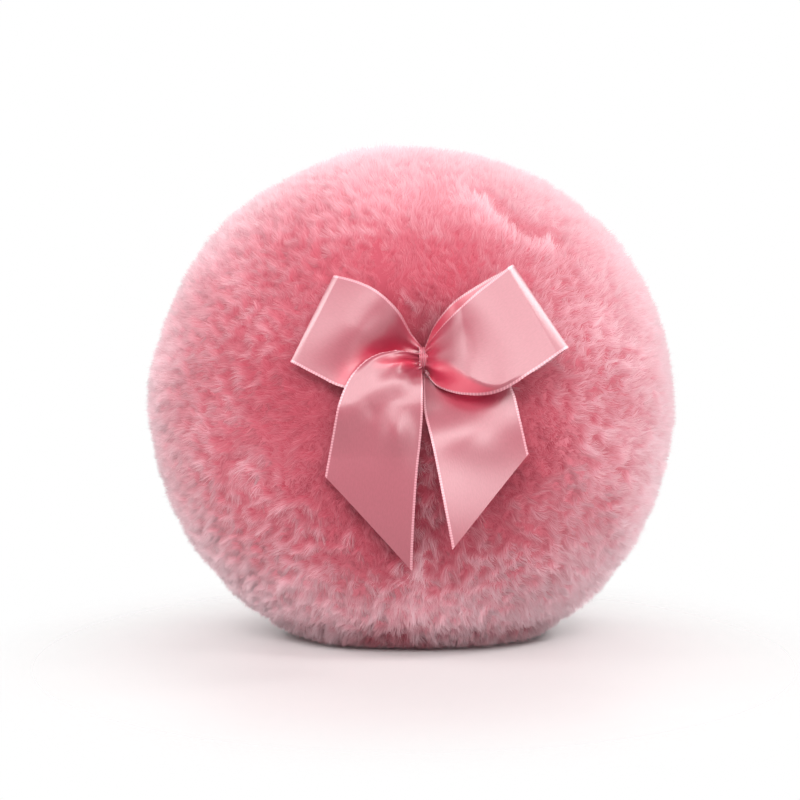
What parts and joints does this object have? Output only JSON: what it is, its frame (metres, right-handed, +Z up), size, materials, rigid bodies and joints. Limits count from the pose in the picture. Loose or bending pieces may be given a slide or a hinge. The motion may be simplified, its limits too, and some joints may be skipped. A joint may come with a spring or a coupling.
{
  "type": "powder puff",
  "caption": "Round plush powder puff standing on its flattened edge: a fibre-filled pile case with a satin ribbon bow sewn into a tuft on its front face as a grip.",
  "frame": {"origin": "the middle of the flat patch of pile that the puff stands on", "axes": "+Z up, -Y the way the face with the bow looks, +X to the right of someone who looks at the bow"},
  "size_m": [0.09, 0.0656, 0.0832],
  "materials": {
    "plush_pile": "long soft pile, deep pink at the roots and pale at the tips",
    "polyester_fibre": "loose white fibre",
    "sewing_thread": "twisted thread",
    "satin_ribbon": "satin weave with a woven edge"
  },
  "bodies": {
    "puff": {"front_plush_panel": "plush_pile", "rear_plush_panel": "plush_pile", "fibre_filling": "polyester_fibre", "seam_thread": "sewing_thread", "anchor_thread": "sewing_thread"},
    "bow_knot": {"bow_gather": "satin_ribbon", "bow_binding_thread": "sewing_thread"},
    "left_loop": {"bow_left_loop": "satin_ribbon"},
    "right_loop": {"bow_right_loop": "satin_ribbon"},
    "left_tail": {"bow_left_tail": "satin_ribbon"},
    "right_tail": {"bow_right_tail": "satin_ribbon"}
  },
  "joints": [
    {"name": "bow_swivel", "type": "hinge", "parent": "puff", "child": "bow_knot", "pos_m": [0.0016, -0.01672, 0.04921], "axis": [0, -0.9563, 0.2924], "range_deg": [-15, 15], "stiffness_Nm_per_rad": 0.0004},
    {"name": "left_loop_lift", "type": "hinge", "parent": "bow_knot", "child": "left_loop", "pos_m": [-0.00717, -0.01948, 0.0519], "axis": [0.8368, 0.3084, 0.4525], "range_deg": [0, 50]},
    {"name": "right_loop_lift", "type": "hinge", "parent": "bow_knot", "child": "right_loop", "pos_m": [0.0052, -0.01799, 0.0496], "axis": [0, -0.2924, -0.9563], "range_deg": [0, 50]},
    {"name": "left_tail_lift", "type": "hinge", "parent": "bow_knot", "child": "left_tail", "pos_m": [-0.00525, -0.0225, 0.04418], "axis": [-1, 0, 0], "range_deg": [0, 65]},
    {"name": "right_tail_lift", "type": "hinge", "parent": "bow_knot", "child": "right_tail", "pos_m": [0.00845, -0.0225, 0.04418], "axis": [-1, 0, 0], "range_deg": [0, 65]}
  ]
}
